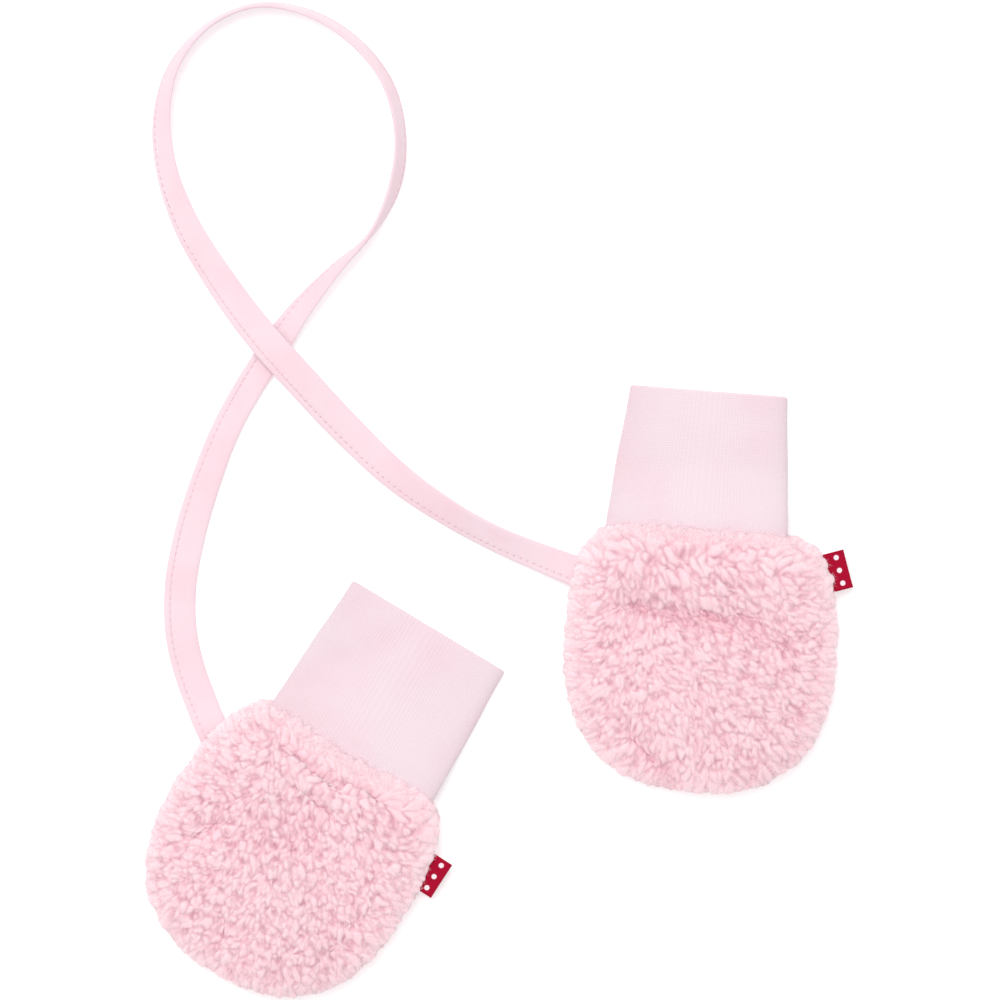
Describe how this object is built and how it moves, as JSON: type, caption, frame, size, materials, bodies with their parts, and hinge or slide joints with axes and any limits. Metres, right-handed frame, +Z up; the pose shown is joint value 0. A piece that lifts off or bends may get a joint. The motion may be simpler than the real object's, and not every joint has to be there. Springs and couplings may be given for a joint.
{
  "type": "pair of baby mittens on a neck cord",
  "caption": "Soft teddy-fleece baby mittens with flat jersey cuffs, joined by a long flat fabric neck cord, laid flat on a table.",
  "frame": {"origin": "on the table, under the middle of the box round the two mittens without the neck cord", "axes": "+Z up from the table, +Y from the mittens' rounded ends towards the loop of the neck cord, +X from the left mitten to the right one, seen from above"},
  "size_m": [0.2484, 0.3478, 0.0159],
  "materials": {
    "teddy_fleece": "pink teddy (sherpa) fleece, curly cut pile",
    "cuff_jersey": "pale pink fine cotton interlock, matt",
    "cord_jersey": "pale pink cotton jersey tape, topstitched along one edge",
    "label_ribbon": "deep red woven ribbon, slight satin"
  },
  "bodies": {
    "root": {"right_front_panel": "teddy_fleece", "right_back_panel": "teddy_fleece", "right_cuff": "cuff_jersey", "right_label": "label_ribbon", "left_front_panel": "teddy_fleece", "left_back_panel": "teddy_fleece", "left_cuff": "cuff_jersey", "left_label": "label_ribbon", "neck_cord": "cord_jersey"}
  },
  "joints": []
}
